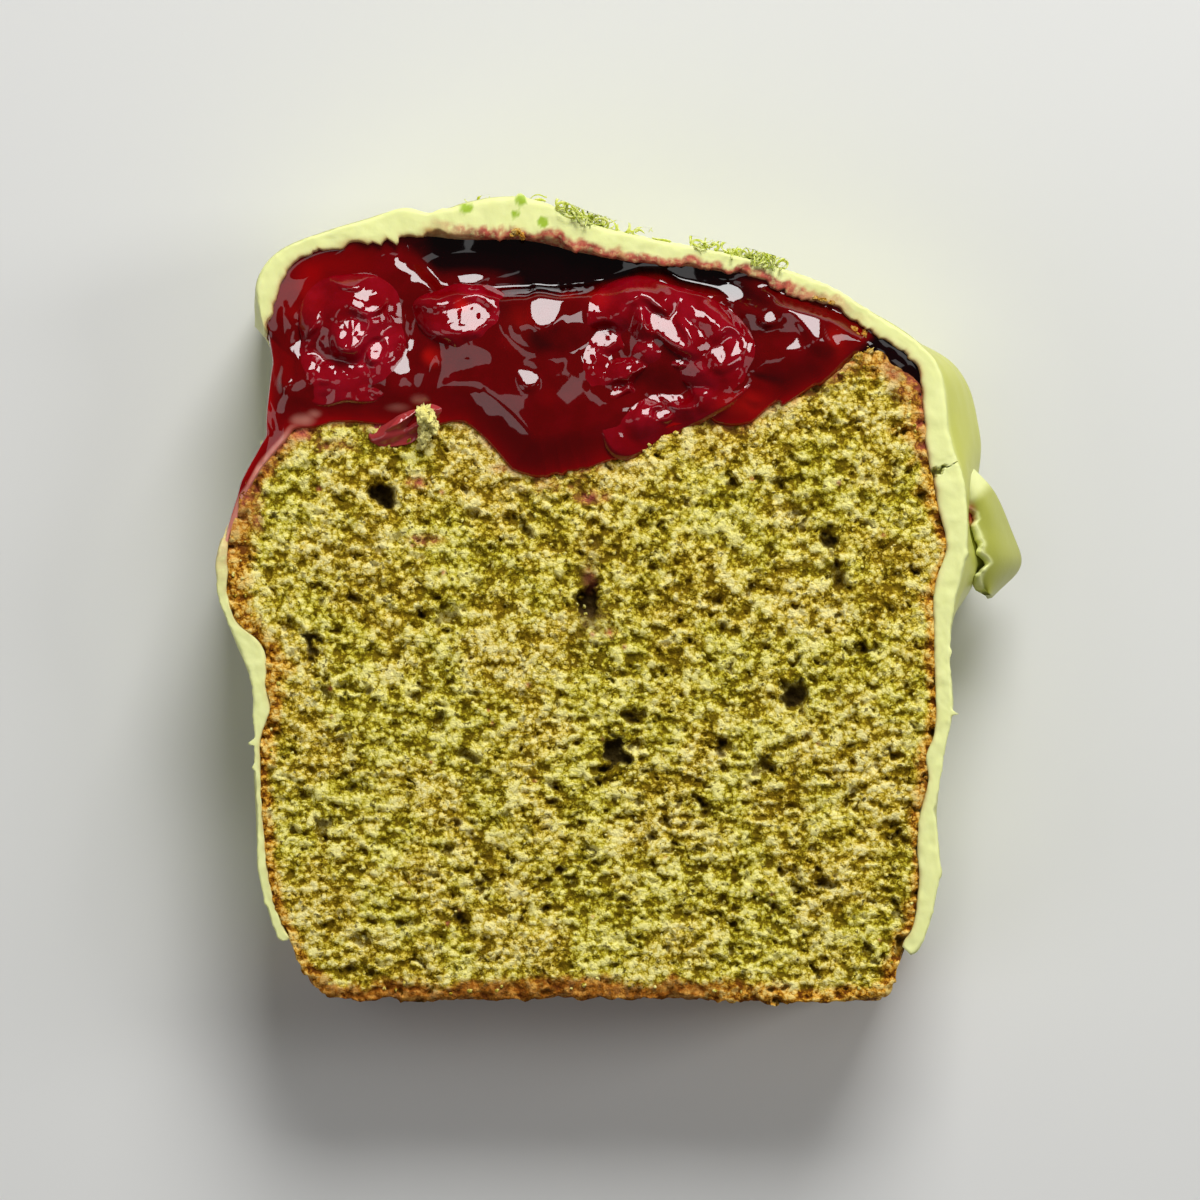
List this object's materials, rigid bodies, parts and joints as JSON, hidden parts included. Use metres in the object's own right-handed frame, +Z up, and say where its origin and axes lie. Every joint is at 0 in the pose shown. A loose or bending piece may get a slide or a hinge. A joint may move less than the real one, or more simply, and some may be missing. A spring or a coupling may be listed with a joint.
{
  "type": "glazed loaf cake slice",
  "caption": "Slice of green tea loaf cake with a red fruit jam filling under a pale green glaze, lying flat on its back cut face.",
  "frame": {"origin": "middle of the slice's box on the plane of its back cut face, on which it lies", "axes": "+Z up out of the shown cut face, +Y to the top of the loaf, +X to the right of the shown face"},
  "size_m": [0.104, 0.1023, 0.0294],
  "materials": {
    "crumb": "porous green-gold sponge with a browned crust",
    "jam": "wet, deep red, translucent",
    "fruit": "wet, lumpy, red, translucent",
    "glaze": "pale green set glaze, satin outside and dull where it broke",
    "zest": "waxy green peel strands"
  },
  "bodies": {
    "root": {"crumb": "crumb", "jam": "jam", "fruit_piece_right": "fruit", "fruit_piece_left": "fruit", "fruit_piece_middle": "fruit", "glaze": "glaze", "glaze_shard": "glaze"}
  },
  "joints": []
}
